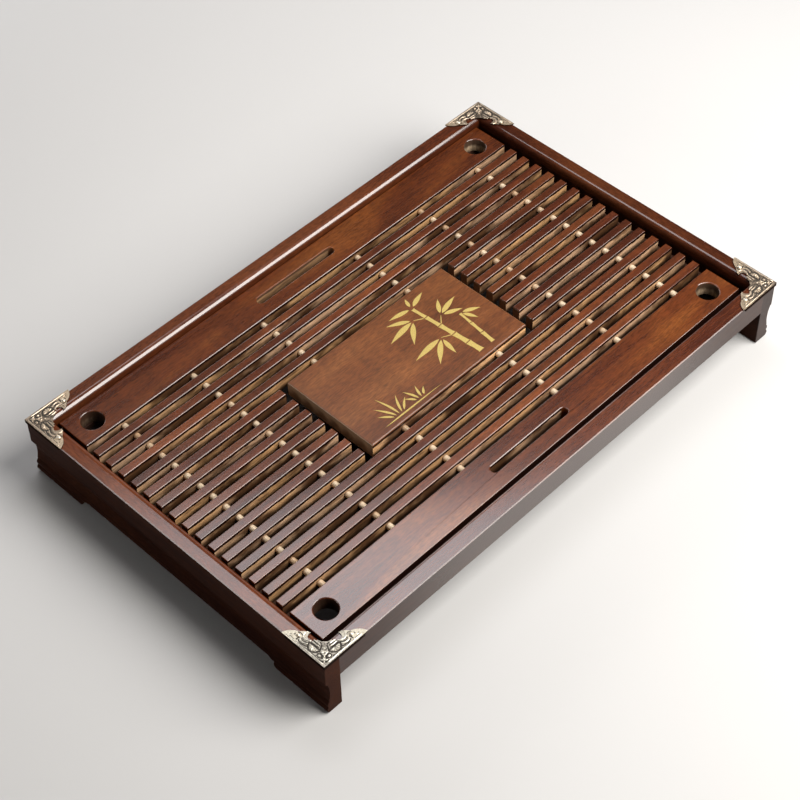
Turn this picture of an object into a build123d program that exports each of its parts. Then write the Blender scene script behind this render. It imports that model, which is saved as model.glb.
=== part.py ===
from build123d import *
import os

os.makedirs("parts", exist_ok=True)

# A low gongfu tea table: a frame on four bracket feet, a slatted grille that lifts off,
# and a water tray that pulls out to the front under the apron.
# Millimetres. +X is the long way, -Y the front, +Z up, origin on the floor under the centre.

# ---------------------------------------------------------------- driving dimensions
# frame
frame_length = 430.0
frame_width = 275.0
frame_height = 50.0
end_board_thickness = 12.0
rail_thickness = 12.0
apron_height = 21.0
arris = 0.6
inner_edge_radius = 4.2
front_edge_radius = 2.0
pad_diameter = 9.0
pad_thickness = 1.0

# moulding on the outer face of the end boards, from the top down
band_height = 20.5
band_step = 1.2
hollow_depth = 2.9
hollow_foot_depth = 1.7
quirk_depth = 2.3
quirk_height = 0.6
upper_bead_top = 10.8
upper_bead_inset = 0.5
bead_line = 5.2
bead_line_depth = 1.3
sole_inset = 1.3

# arched cut-out between the feet
arch_rise = 8.5
foot_length = 41.5
ogee_length = 12.0
foot_toe = 1.0

# stub tenons on the rails, in blind mortises in the end boards
tenon_length = 8.0
tenon_thickness = 6.0
tenon_shoulder = 4.0
tenon_fit = 0.05
tenon_end_gap = 0.4

# ledges, runners and stop
ledge_height = 4.0
end_ledge_width = 10.0
side_ledge_width = 8.0
runner_width = 8.0
runner_height = 6.0
runner_setback = 15.5
stop_length = 120.0
stop_width = 6.0
stop_height = 6.0

# grille
grille_recess = 6.0
grille_play_x = 3.5
grille_play_y = 3.0
grille_push = 2.7
board_width = 28.4
slat_height = 11.0
slat_width = 6.0
slat_arris = 0.4
full_rows_each_side = 4
short_rows = 7
cross_dowel_diameter = 4.5
cross_dowel_seat = 18.0
cross_dowel_end_gap = 0.4
dowel_fit = 0.05
bore_flat_count = 10
outer_dowel_inset = 30.5
middle_dowel_inset = 28.5
inner_dowel_inset = 28.5
finger_hole_diameter = 16.0
finger_hole_inset = 16.8
finger_hole_edge = 0.5
drain_slot_length = 72.0
drain_slot_width = 6.0
plaque_length = 147.0
plaque_gap = 7.0
plaque_proud = 1.0
plaque_arris = 0.7

# water tray
tray_wall = 1.8
tray_flange_thickness = 1.5
tray_side_gap = 1.0
tray_flange_gap = 1.5
tray_front_setback = 6.5
tray_wall_setback = 13.5
tray_floor_gap = 5.0
tray_draft = 5.0
tray_corner_radius = 14.0
tray_edge_chamfer = 2.0
tray_flange_corner_radius = 11.5
tray_stop_gap = 0.3
grip_length = 80.0
grip_drop = 6.0

# corner brackets
bracket_reach = 35.2
bracket_thickness = 0.8
bracket_lip = 2.2
bracket_lip_thickness = 0.7
tack_head_diameter = 3.2
tack_head_height = 1.0
tack_crown_diameter = 1.6
tack_shank_width = 1.2
tack_shank_length = 6.0
tack_fit = 0.05
tack_along = 26.9
tack_across = 4.8

# ---------------------------------------------------------------- derived places
half_length = frame_length / 2
half_width = frame_width / 2
inner_x = half_length - end_board_thickness
inner_y = half_width - rail_thickness
sole_z = pad_thickness
rim_z = sole_z + frame_height
apron_z = rim_z - apron_height
band_z = rim_z - band_height

slat_top_z = rim_z - grille_recess
slat_bottom_z = slat_top_z - slat_height
plaque_top_z = slat_top_z + plaque_proud
ledge_z = slat_bottom_z - ledge_height

grille_half_length = inner_x - grille_play_x
grille_half_width = inner_y - grille_play_y
slat_rows = 2 * full_rows_each_side + short_rows
slat_gap = (2 * grille_half_width - 2 * board_width - slat_rows * slat_width) / (slat_rows + 1)
slat_pitch = slat_width + slat_gap
cross_dowel_z = slat_bottom_z + slat_height / 2
board_center = grille_half_width - board_width / 2

short_slat_start = plaque_length / 2 + plaque_gap
outer_dowel_x = grille_half_length - outer_dowel_inset
middle_dowel_x = short_slat_start + middle_dowel_inset
inner_dowel_x = plaque_length / 2 - inner_dowel_inset
cross_dowel_xs = [
    -outer_dowel_x,
    -middle_dowel_x,
    -inner_dowel_x,
    inner_dowel_x,
    middle_dowel_x,
    outer_dowel_x,
]
cross_bore_inscribed_radius = cross_dowel_diameter / 2 + dowel_fit
plaque_width = (short_rows - 1) * slat_pitch + slat_width

runner_top_z = ledge_z - tray_flange_gap - tray_flange_thickness
front_y = -half_width
tray_front_y = front_y + tray_front_setback
stop_front_y = inner_y - stop_width
tray_back_y = stop_front_y - tray_stop_gap


def row_y(row):
    """Middle of a slat row, counted from the front, row 0 next to the front board."""
    return grille_push + (row - (slat_rows - 1) / 2) * slat_pitch


def cross_bores(xs):
    """Bores of the cross dowels at xs, on an XZ plane: many repeats, so each has a few flats."""
    with BuildSketch(mode=Mode.PRIVATE) as bores:
        with Locations(*[(x, cross_dowel_z) for x in xs]):
            RegularPolygon(cross_bore_inscribed_radius, bore_flat_count, major_radius=False)
    return bores.sketch


# ---------------------------------------------------------------- end boards
# The moulding is an extruded profile: a flat band, a shallow hollow and two beads.
rail_y = half_width - rail_thickness / 2
rail_z = (apron_z + rim_z) / 2
tenon_height = apron_height - 2 * tenon_shoulder
tack_hole_width = tack_shank_width + 2 * tack_fit
tack_hole_depth = tack_shank_length + tack_fit

with BuildPart() as end_board_right:
    with BuildSketch(Plane.XZ) as moulding:
        with BuildLine():
            Polyline(
                (half_length - sole_inset, sole_z),
                (inner_x, sole_z),
                (inner_x, rim_z),
                (half_length, rim_z),
                (half_length, band_z),
                (half_length - band_step, band_z),
            )
            hollow_z = (band_z + sole_z + upper_bead_top) / 2
            ThreePointArc(
                (half_length - band_step, band_z),
                (half_length - hollow_depth, hollow_z),
                (half_length - hollow_foot_depth, sole_z + upper_bead_top + quirk_height),
            )
            Line(
                (half_length - hollow_foot_depth, sole_z + upper_bead_top + quirk_height),
                (half_length - quirk_depth, sole_z + upper_bead_top),
            )
            ThreePointArc(
                (half_length - quirk_depth, sole_z + upper_bead_top),
                (half_length - upper_bead_inset, sole_z + (upper_bead_top + bead_line) / 2),
                (half_length - bead_line_depth, sole_z + bead_line),
            )
            ThreePointArc(
                (half_length - bead_line_depth, sole_z + bead_line),
                (half_length, sole_z + bead_line / 2),
                (half_length - sole_inset, sole_z),
            )
        make_face()
    extrude(amount=half_width, both=True)

    # arched cut-out: flat top running down in an ogee to each foot
    foot_y = half_width - foot_length
    arch_y = foot_y - ogee_length
    arch_z = sole_z + arch_rise
    toe_z = sole_z + foot_toe
    with BuildSketch(Plane.YZ.offset(inner_x)) as arch:
        with BuildLine():
            Line((-arch_y, arch_z), (arch_y, arch_z))
            ogee_middle = ((arch_y + foot_y) / 2, (arch_z + toe_z) / 2)
            TangentArc((arch_y, arch_z), ogee_middle, tangent=(1, 0))
            TangentArc((foot_y, toe_z), ogee_middle, tangent=(-1, 0))
            Line((foot_y, toe_z), (foot_y, sole_z))
            Line((foot_y, sole_z), (-foot_y, sole_z))
            Line((-foot_y, sole_z), (-foot_y, toe_z))
            TangentArc((-foot_y, toe_z), (-ogee_middle[0], ogee_middle[1]), tangent=(1, 0))
            TangentArc((-arch_y, arch_z), (-ogee_middle[0], ogee_middle[1]), tangent=(-1, 0))
        make_face()
    extrude(amount=end_board_thickness, mode=Mode.SUBTRACT)

    # rounded inner top edge between the rails
    with BuildSketch(Plane.XZ) as round_over:
        with BuildLine():
            Polyline(
                (inner_x, rim_z - inner_edge_radius),
                (inner_x, rim_z),
                (inner_x + inner_edge_radius, rim_z),
            )
            RadiusArc(
                (inner_x + inner_edge_radius, rim_z),
                (inner_x, rim_z - inner_edge_radius),
                -inner_edge_radius,
            )
        make_face()
    extrude(amount=inner_y, both=True, mode=Mode.SUBTRACT)

    # blind mortises for the tenons of the rails
    with BuildSketch(Plane.YZ.offset(inner_x)):
        with Locations((-rail_y, rail_z), (rail_y, rail_z)):
            Rectangle(tenon_thickness + 2 * tenon_fit, tenon_height + 2 * tenon_fit)
    extrude(amount=tenon_length + tenon_end_gap, mode=Mode.SUBTRACT)

    # square holes that the shanks of the bracket tacks leave
    with BuildSketch(Plane.XY.offset(rim_z)):
        with Locations(
            (half_length - tack_across, half_width - tack_along),
            (half_length - tack_across, tack_along - half_width),
        ):
            Rectangle(tack_hole_width, tack_hole_width)
    extrude(amount=-tack_hole_depth, mode=Mode.SUBTRACT)

    outer_top_edges = (
        end_board_right.faces().sort_by(Axis.Z)[-1].outer_wire().edges().filter_by(Axis.Y).sort_by(Axis.X)
    )
    chamfer(outer_top_edges[-1], arris)
end_board_right.part.label = "end_board_right"
export_step(end_board_right.part, "parts/end_board_right.step")

with BuildPart() as end_board_left:
    mirror(end_board_right.part, about=Plane.YZ)
end_board_left.part.label = "end_board_left"
export_step(end_board_left.part, "parts/end_board_left.step")

# ---------------------------------------------------------------- rails
rail_tack_x = half_length - tack_along
rail_tack_y = half_width - tack_across


def make_rail(edge_radius):
    """Back rail with its tenons, the inner top edge rounded to edge_radius."""
    with BuildPart() as rail:
        with BuildSketch(Plane.YZ):
            with BuildLine():
                Polyline(
                    (inner_y + edge_radius, rim_z),
                    (half_width - arris, rim_z),
                    (half_width, rim_z - arris),
                    (half_width, apron_z + arris),
                    (half_width - arris, apron_z),
                    (inner_y, apron_z),
                    (inner_y, rim_z - edge_radius),
                )
                RadiusArc(
                    (inner_y, rim_z - edge_radius),
                    (inner_y + edge_radius, rim_z),
                    edge_radius,
                )
            make_face()
        extrude(amount=inner_x, both=True)

        for end in (-1, 1):
            with BuildSketch(Plane.YZ.offset(end * inner_x)):
                with Locations((rail_y, rail_z)):
                    Rectangle(tenon_thickness, tenon_height)
            extrude(amount=end * tenon_length)

        with BuildSketch(Plane.XY.offset(rim_z)):
            with Locations((-rail_tack_x, rail_tack_y), (rail_tack_x, rail_tack_y)):
                Rectangle(tack_hole_width, tack_hole_width)
        extrude(amount=-tack_hole_depth, mode=Mode.SUBTRACT)
    return rail.part


rail_back = make_rail(inner_edge_radius)
rail_back.label = "rail_back"
export_step(rail_back, "parts/rail_back.step")

with BuildPart() as rail_front:
    mirror(make_rail(front_edge_radius), about=Plane.XZ)
rail_front.part.label = "rail_front"
export_step(rail_front.part, "parts/rail_front.step")

# ---------------------------------------------------------------- foot pads
pad_x = inner_x + (end_board_thickness - sole_inset) / 2
pad_y = half_width - foot_length / 2

with BuildPart() as foot_pads:
    with BuildSketch(Plane.XY):
        with GridLocations(2 * pad_x, 2 * pad_y, 2, 2):
            Circle(pad_diameter / 2)
    extrude(amount=pad_thickness)
foot_pads.part.label = "foot_pads"
export_step(foot_pads.part, "parts/foot_pads.step")

# ---------------------------------------------------------------- ledges under the grille
end_ledge_length = 2 * (inner_y - side_ledge_width)

for side, side_name in ((-1, "front"), (1, "back")):
    with BuildPart() as side_ledge:
        with BuildSketch(Plane.XY.offset(ledge_z)):
            with Locations((0, side * (inner_y - side_ledge_width / 2))):
                Rectangle(2 * inner_x, side_ledge_width)
        extrude(amount=ledge_height)
    side_ledge.part.label = f"side_ledge_{side_name}"
    export_step(side_ledge.part, f"parts/side_ledge_{side_name}.step")

for side, side_name in ((-1, "left"), (1, "right")):
    with BuildPart() as end_ledge:
        with BuildSketch(Plane.XY.offset(ledge_z)):
            with Locations((side * (inner_x - end_ledge_width / 2), 0)):
                Rectangle(end_ledge_width, end_ledge_length)
        extrude(amount=ledge_height)
    end_ledge.part.label = f"end_ledge_{side_name}"
    export_step(end_ledge.part, f"parts/end_ledge_{side_name}.step")

# ---------------------------------------------------------------- runners and stop
runner_length = 2 * (half_width - runner_setback)

for side, side_name in ((-1, "left"), (1, "right")):
    with BuildPart() as tray_runner:
        with BuildSketch(Plane.XY.offset(runner_top_z)):
            with Locations((side * (inner_x - runner_width / 2), 0)):
                Rectangle(runner_width, runner_length)
        extrude(amount=-runner_height)
        chamfer(tray_runner.edges().filter_by(Axis.Z), arris)
    tray_runner.part.label = f"tray_runner_{side_name}"
    export_step(tray_runner.part, f"parts/tray_runner_{side_name}.step")

with BuildPart() as tray_stop:
    with BuildSketch(Plane.XY.offset(ledge_z)):
        with Locations((0, inner_y - stop_width / 2)):
            Rectangle(stop_length, stop_width)
    extrude(amount=-stop_height)
    chamfer(tray_stop.edges().filter_by(Axis.Z), arris)
tray_stop.part.label = "tray_stop"
export_step(tray_stop.part, "parts/tray_stop.step")

# ---------------------------------------------------------------- corner brackets
# A stamped plate on each rim corner: two arms that taper to a point, a hooked notch in the
# inner edge of each arm and edges turned down over the wood. Its outline is drawn from the
# outer corner of the frame inwards, one arm along X, and mirrored on the diagonal.
lip = bracket_lip_thickness
arm_tip = (bracket_reach, 0)
arm_cusp = (0.8 * bracket_reach, 0.193 * bracket_reach)
hook_tip = (0.64 * bracket_reach, 0.318 * bracket_reach)
notch_end = (0.46 * bracket_reach, 0.293 * bracket_reach)
inner_point = (0.35 * bracket_reach, 0.35 * bracket_reach)

with BuildPart() as bracket_back_right:
    corner = Plane(origin=(half_length, half_width, rim_z), x_dir=(-1, 0, 0), z_dir=(0, 0, 1))
    with BuildSketch(corner) as plate:
        with BuildLine():
            Polyline((-lip, -lip), (bracket_reach, -lip), arm_tip)
            ThreePointArc(arm_tip, (0.925 * bracket_reach, 0.12 * bracket_reach), arm_cusp)
            ThreePointArc(arm_cusp, (0.74 * bracket_reach, 0.262 * bracket_reach), hook_tip)
            ThreePointArc(hook_tip, (0.556 * bracket_reach, 0.188 * bracket_reach), notch_end)
            ThreePointArc(notch_end, (0.409 * bracket_reach, 0.304 * bracket_reach), inner_point)
            Line(inner_point, (-lip, -lip))
        make_face()
        mirror(about=Plane(origin=(0, 0, 0), x_dir=(1, 1, 0), z_dir=(-1, 1, 0)))
    extrude(amount=bracket_thickness)
    lip_length = bracket_reach - 2 * lip
    with BuildSketch(corner):
        with Locations((lip_length / 2 - lip, -lip / 2)):
            Rectangle(lip_length, lip)
        with Locations((-lip / 2, lip_length / 2 - lip)):
            Rectangle(lip, lip_length)
    extrude(amount=-bracket_lip)
    with BuildSketch(corner):
        with Locations((tack_along, tack_across), (tack_across, tack_along)):
            Rectangle(tack_hole_width, tack_hole_width)
    extrude(amount=bracket_thickness, mode=Mode.SUBTRACT)
bracket_back_right.part.label = "bracket_back_right"
export_step(bracket_back_right.part, "parts/bracket_back_right.step")

with BuildPart() as bracket_back_left:
    mirror(bracket_back_right.part, about=Plane.YZ)
bracket_back_left.part.label = "bracket_back_left"
export_step(bracket_back_left.part, "parts/bracket_back_left.step")

with BuildPart() as bracket_front_right:
    mirror(bracket_back_right.part, about=Plane.XZ)
bracket_front_right.part.label = "bracket_front_right"
export_step(bracket_front_right.part, "parts/bracket_front_right.step")

with BuildPart() as bracket_front_left:
    mirror(bracket_back_left.part, about=Plane.XZ)
bracket_front_left.part.label = "bracket_front_left"
export_step(bracket_front_left.part, "parts/bracket_front_left.step")

# ---------------------------------------------------------------- bracket tacks
# Round heads on the plates, square shanks through them into the wood.
tack_points = [
    (side_x * (half_length - along), side_y * (half_width - across))
    for side_x in (-1, 1)
    for side_y in (-1, 1)
    for along, across in ((tack_along, tack_across), (tack_across, tack_along))
]

with BuildPart() as bracket_tacks:
    with BuildSketch(Plane.XY.offset(rim_z - tack_shank_length)):
        with Locations(*tack_points):
            Rectangle(tack_shank_width, tack_shank_width)
    extrude(amount=tack_shank_length + bracket_thickness)
    with Locations(*[(x, y, rim_z + bracket_thickness) for x, y in tack_points]):
        Cone(
            tack_head_diameter / 2,
            tack_crown_diameter / 2,
            tack_head_height,
            align=(Align.CENTER, Align.CENTER, Align.MIN),
        )
bracket_tacks.part.label = "bracket_tacks"
export_step(bracket_tacks.part, "parts/bracket_tacks.step")

# ---------------------------------------------------------------- grille boards
# Wide front and back boards, with finger holes at the ends and a drain slot in the middle.
board_inner_y = grille_half_width - board_width
finger_hole_x = grille_half_length - finger_hole_inset
grille_middle = Plane(origin=(0, grille_push, 0), x_dir=(1, 0, 0), z_dir=(0, -1, 0))

with BuildPart() as board_back:
    with BuildSketch(Plane.XY.offset(slat_bottom_z)):
        with Locations((0, grille_push + board_center)):
            Rectangle(2 * grille_half_length, board_width)
    extrude(amount=slat_height)
    chamfer(board_back.faces().sort_by(Axis.Z)[-1].edges(), slat_arris)
    with BuildSketch(Plane.XY.offset(slat_bottom_z)):
        with Locations(
            (-finger_hole_x, grille_push + board_center),
            (finger_hole_x, grille_push + board_center),
        ):
            Circle(finger_hole_diameter / 2)
        with Locations((0, grille_push + board_center)):
            SlotOverall(drain_slot_length, drain_slot_width)
    extrude(amount=slat_height, mode=Mode.SUBTRACT)
    hole_rims = board_back.faces().sort_by(Axis.Z)[-1].inner_wires().edges()
    chamfer(hole_rims, finger_hole_edge)
    with BuildSketch(Plane.XZ.offset(-grille_push - board_inner_y)):
        add(cross_bores(cross_dowel_xs))
    extrude(amount=-cross_dowel_seat - cross_dowel_end_gap, mode=Mode.SUBTRACT)
board_back.part.label = "board_back"
export_step(board_back.part, "parts/board_back.step")

with BuildPart() as board_front:
    mirror(board_back.part, about=grille_middle)
board_front.part.label = "board_front"
export_step(board_front.part, "parts/board_front.step")


# ---------------------------------------------------------------- slats
def make_slat(start_x, end_x, middle_y):
    """A slat from start_x to end_x with a bore for each cross dowel that passes it."""
    bore_xs = [x for x in cross_dowel_xs if start_x < x < end_x]
    with BuildPart() as slat:
        with BuildSketch(Plane.XY.offset(slat_bottom_z)):
            with Locations(((start_x + end_x) / 2, middle_y)):
                Rectangle(end_x - start_x, slat_width)
        extrude(amount=slat_height)
        chamfer(slat.faces().sort_by(Axis.Z)[-1].edges(), slat_arris)
        with BuildSketch(Plane.XZ.offset(-middle_y - slat_width / 2)):
            add(cross_bores(bore_xs))
        extrude(amount=slat_width, mode=Mode.SUBTRACT)
    return slat.part


for row in range(slat_rows):
    in_front = row < full_rows_each_side
    behind = row >= full_rows_each_side + short_rows
    if in_front or behind:
        group = "front" if in_front else "back"
        number = row + 1 if in_front else row - full_rows_each_side - short_rows + 1
        full_slat = make_slat(-grille_half_length, grille_half_length, row_y(row))
        full_slat.label = f"slat_{group}_{number}"
        export_step(full_slat, f"parts/slat_{group}_{number}.step")
    else:
        number = row - full_rows_each_side + 1
        left_slat = make_slat(-grille_half_length, -short_slat_start, row_y(row))
        left_slat.label = f"slat_left_{number}"
        export_step(left_slat, f"parts/slat_left_{number}.step")
        right_slat = make_slat(short_slat_start, grille_half_length, row_y(row))
        right_slat.label = f"slat_right_{number}"
        export_step(right_slat, f"parts/slat_right_{number}.step")

# ---------------------------------------------------------------- plaque
with BuildPart() as plaque:
    with BuildSketch(Plane.XY.offset(slat_bottom_z)):
        with Locations((0, grille_push)):
            Rectangle(plaque_length, plaque_width)
    extrude(amount=slat_height + plaque_proud)
    chamfer(plaque.faces().sort_by(Axis.Z)[-1].edges(), plaque_arris)
    with BuildSketch(Plane.XZ.offset(-grille_push - plaque_width / 2)):
        add(cross_bores([-inner_dowel_x, inner_dowel_x]))
    extrude(amount=plaque_width, mode=Mode.SUBTRACT)
plaque.part.label = "plaque"
export_step(plaque.part, "parts/plaque.step")

# ---------------------------------------------------------------- cross dowels
cross_dowel_half = board_inner_y + cross_dowel_seat

for number, x in enumerate(cross_dowel_xs, start=1):
    with BuildPart() as cross_dowel:
        with BuildSketch(Plane.XZ.offset(-grille_push)):
            with Locations((x, cross_dowel_z)):
                Circle(cross_dowel_diameter / 2)
        extrude(amount=cross_dowel_half, both=True)
    cross_dowel.part.label = f"cross_dowel_{number}"
    export_step(cross_dowel.part, f"parts/cross_dowel_{number}.step")

# ---------------------------------------------------------------- water tray
# A drafted moulding with a flange that rides on the runners and a turned-down front grip.
flange_half_x = inner_x - tray_side_gap
tub_half_x = inner_x - runner_width - tray_side_gap
tub_front_y = front_y + tray_wall_setback
tub_back_y = tray_back_y - (tub_front_y - tray_front_y)
tub_middle_y = (tub_front_y + tub_back_y) / 2
tub_size = (2 * tub_half_x, tub_back_y - tub_front_y)
flange_top_z = runner_top_z + tray_flange_thickness
tub_depth = runner_top_z - tray_floor_gap - sole_z
tray_middle_y = (tray_front_y + tray_back_y) / 2
tub_mouth = Plane(origin=(0, tub_middle_y, runner_top_z), x_dir=(1, 0, 0), z_dir=(0, 0, -1))
tray_opening = tub_mouth.offset(runner_top_z - flange_top_z)

with BuildPart() as water_tray:
    with BuildSketch(tub_mouth):
        RectangleRounded(*tub_size, tray_corner_radius)
    extrude(amount=tub_depth, taper=tray_draft)
    chamfer(water_tray.faces().sort_by(Axis.Z)[0].edges(), tray_edge_chamfer)
    with BuildSketch(Plane.XY.offset(runner_top_z)):
        with Locations((0, tray_middle_y)):
            RectangleRounded(
                2 * flange_half_x, tray_back_y - tray_front_y, tray_flange_corner_radius
            )
    extrude(amount=tray_flange_thickness)
    with BuildSketch(Plane.XY.offset(runner_top_z)):
        with Locations((0, tray_front_y + tray_wall / 2)):
            Rectangle(grip_length, tray_wall)
    extrude(amount=-grip_drop)
    with BuildSketch(tray_opening):
        RectangleRounded(
            tub_size[0] - 2 * tray_wall, tub_size[1] - 2 * tray_wall, tray_corner_radius - tray_wall
        )
    extrude(amount=tub_depth + tray_flange_thickness - tray_wall, taper=tray_draft, mode=Mode.SUBTRACT)
water_tray.part.label = "water_tray"
export_step(water_tray.part, "parts/water_tray.step")
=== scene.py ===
"""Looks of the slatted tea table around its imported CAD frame. Metres, same frame as the CAD."""

import math

import bmesh
import bpy
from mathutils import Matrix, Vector


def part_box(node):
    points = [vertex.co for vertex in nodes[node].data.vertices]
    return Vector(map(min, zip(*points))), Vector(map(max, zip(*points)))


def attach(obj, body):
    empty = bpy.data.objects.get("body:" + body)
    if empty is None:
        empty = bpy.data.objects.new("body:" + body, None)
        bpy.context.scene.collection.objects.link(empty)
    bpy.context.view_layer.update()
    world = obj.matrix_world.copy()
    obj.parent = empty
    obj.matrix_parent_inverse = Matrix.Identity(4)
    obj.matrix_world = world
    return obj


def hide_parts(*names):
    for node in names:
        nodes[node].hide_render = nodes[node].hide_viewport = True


MM = 0.001

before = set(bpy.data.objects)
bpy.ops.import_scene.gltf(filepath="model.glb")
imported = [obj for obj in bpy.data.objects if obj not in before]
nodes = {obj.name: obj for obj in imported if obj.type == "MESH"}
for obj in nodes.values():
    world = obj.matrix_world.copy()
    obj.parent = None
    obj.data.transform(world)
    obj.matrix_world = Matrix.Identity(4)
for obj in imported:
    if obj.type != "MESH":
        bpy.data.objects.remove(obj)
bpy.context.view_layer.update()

# ------------------------------------------------------------------ sizes read from the frame
RIM_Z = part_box("rail_front")[1].z
HALF_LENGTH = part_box("end_board_right")[1].x
HALF_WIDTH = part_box("end_board_right")[1].y
PLATE_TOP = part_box("bracket_back_right")[1].z
SLAT_LOW, SLAT_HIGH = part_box("slat_front_1")
SLAT_TOP = SLAT_HIGH.z
SLAT_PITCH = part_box("slat_front_2")[0].y - SLAT_LOW.y
GRILLE_Y = (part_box("board_front")[0].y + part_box("board_back")[1].y) / 2
GRILLE_HALF_WIDTH = (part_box("board_back")[1].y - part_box("board_front")[0].y) / 2
BOARD_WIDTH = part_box("board_front")[1].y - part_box("board_front")[0].y
PLAQUE_LOW, PLAQUE_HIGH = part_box("plaque")


# ------------------------------------------------------------------ node tree helpers
def rgb(r, g, b):
    return (r, g, b, 1.0)


class Tree:
    """Short names for building one material's node tree."""

    def __init__(self, name):
        self.material = bpy.data.materials.new(name)
        self.material.use_nodes = True
        self.tree = self.material.node_tree
        self.shader = self.tree.nodes["Principled BSDF"]
        places = self.add("ShaderNodeTexCoord").outputs
        self.coords = self.noise_coords = places["Object"]
        self.x, self.y, self.z = self.split(self.coords)
        self.normal_x, self.normal_y, self.normal_z = self.split(places["Normal"])

    def add(self, kind, inputs=None, **settings):
        node = self.tree.nodes.new(kind)
        for key, value in settings.items():
            setattr(node, key, value)
        for key, value in (inputs or {}).items():
            self.feed(node.inputs[key], value)
        return node

    def feed(self, socket, value):
        if isinstance(value, bpy.types.NodeSocket):
            self.tree.links.new(value, socket)
        else:
            socket.default_value = value

    def set(self, **values):
        """Sets sockets of the shader: Base_Color=..., Coat_Weight=..."""
        for key, value in values.items():
            self.feed(self.shader.inputs[key.replace("_", " ")], value)

    def split(self, vector):
        return self.add("ShaderNodeSeparateXYZ", {0: vector}).outputs

    def attribute(self, name, output="Fac"):
        """A custom property of the object that wears the material."""
        node = self.add("ShaderNodeAttribute", attribute_type="OBJECT", attribute_name=name)
        return node.outputs[output]

    def math(self, operation, *values):
        node = self.add("ShaderNodeMath", dict(enumerate(values)), operation=operation)
        return node.outputs[0]

    def times(self, a, b):
        return self.math("MULTIPLY", a, b)

    def absolute(self, value):
        return self.math("ABSOLUTE", value)

    def inverse(self, value):
        return self.math("SUBTRACT", 1.0, value)

    def vector(self, operation, a, b):
        return self.add("ShaderNodeVectorMath", {0: a, 1: b}, operation=operation).outputs[0]

    def ramp(self, value, low, high, to_low=0.0, to_high=1.0):
        """Smooth step from to_low at low to to_high at high."""
        limits = {"From Min": low, "From Max": high, "To Min": to_low, "To Max": to_high}
        node = self.add(
            "ShaderNodeMapRange", {"Value": value, **limits}, interpolation_type="SMOOTHSTEP"
        )
        return node.outputs["Result"]

    def mix(self, factor, a, b, blend="MIX"):
        node = self.add("ShaderNodeMix", data_type="RGBA", blend_type=blend)
        self.feed(node.inputs["Factor"], factor)
        self.feed(node.inputs["A"], a)
        self.feed(node.inputs["B"], b)
        return node.outputs["Result"]

    def shade(self, colour, value):
        """Colour times a single value."""
        grey = self.add("ShaderNodeCombineXYZ", {0: value, 1: value, 2: value}).outputs[0]
        return self.mix(1.0, colour, grey, "MULTIPLY")

    def noise(self, scale, stretch=(1, 1, 1), detail=2.0, roughness=0.5, distortion=0.0):
        """Noise of so many cycles in a metre; stretch weighs them along each axis."""
        looks = {"Detail": detail, "Roughness": roughness, "Distortion": distortion}
        scaled = self.vector("MULTIPLY", self.noise_coords, tuple(scale * s for s in stretch))
        node = self.add("ShaderNodeTexNoise", {"Vector": scaled, "Scale": 1.0, **looks})
        return node.outputs["Fac"]

    def bump(self, height, distance, strength):
        inputs = {"Height": height, "Distance": distance, "Strength": strength}
        self.set(Normal=self.add("ShaderNodeBump", inputs).outputs["Normal"])


# ------------------------------------------------------------------ wood
# Grain of the long pieces and of the end boards: how dense the pattern is along each axis.
ALONG_X = (0.03, 1.0, 1.0)
ALONG_Y = (1.0, 0.03, 1.0)

# Dark, middle and light tone of each wood, and the weights of its pores and its light figure.
WOOD_TONES = {
    "frame": [(0.056, 0.0119, 0.0043), (0.106, 0.0262, 0.0080), (0.173, 0.0535, 0.0166)],
    "board": [(0.075, 0.0148, 0.0031), (0.138, 0.0320, 0.0060), (0.287, 0.092, 0.0175)],
    "slat": [(0.063, 0.0137, 0.0044), (0.126, 0.0317, 0.0093), (0.221, 0.069, 0.0210)],
    "plaque": [(0.124, 0.035, 0.0088), (0.190, 0.060, 0.0152), (0.285, 0.106, 0.030)],
    "inner": [(0.040, 0.017, 0.010), (0.075, 0.030, 0.016), (0.120, 0.052, 0.026)],
}
PORES_AND_FIGURE = {
    "frame": (0.35, 0.45),
    "board": (0.30, 0.60),
    "slat": (0.35, 0.5),
    "plaque": (0.65, 0.5),
    "inner": (0.6, 0.4),
}
COAT_IOR = 1.9
COAT_ROUGHNESS = 0.15

# The frame: its dull outer sides painted dark as shade, and a painted sheen on them where they
# carry a thin coat.
SHADED_SIDE = rgb(0.011, 0.0044, 0.0031)
PAINTED_SHEEN = rgb(0.086, 0.062, 0.054)
# Side faces of boards, slats and plaque, from the edge down to the foot, painted darker low down as
# the shade deep in the gaps.
EDGE_STAIN = rgb(0.012, 0.0045, 0.0030)
BARE_BAMBOO = (rgb(0.712, 0.456, 0.278), rgb(0.692, 0.402, 0.186))
BROWN_PATCH = rgb(0.112, 0.053, 0.024)
BROWN_SMEAR = rgb(0.115, 0.050, 0.023)
SHADED_FOOT = rgb(0.026, 0.012, 0.007)
# Other faces of the grille: long outer sides painted near black as the shade in the gap to the
# rails, back drain slot, finger holes and end grain.
SHADED_OUTER_WALL = rgb(0.026, 0.0090, 0.0055)
SLOT_STAIN = rgb(0.150, 0.085, 0.050)
HOLE_WALL = (rgb(0.042, 0.020, 0.012), rgb(0.700, 0.520, 0.340))
SLAT_END = rgb(0.110, 0.060, 0.034)
PLAQUE_END = rgb(0.620, 0.400, 0.235)
# Cross dowels: brownest and palest stick, and the stain beside the slats.
DOWEL_TONES = (rgb(0.640, 0.415, 0.240), rgb(0.880, 0.700, 0.490))
DOWEL_STAIN = rgb(0.200, 0.090, 0.040)
# Dowels lie so far apart along X that no two share one of these steps.
DOWEL_CELL = 0.02

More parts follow.
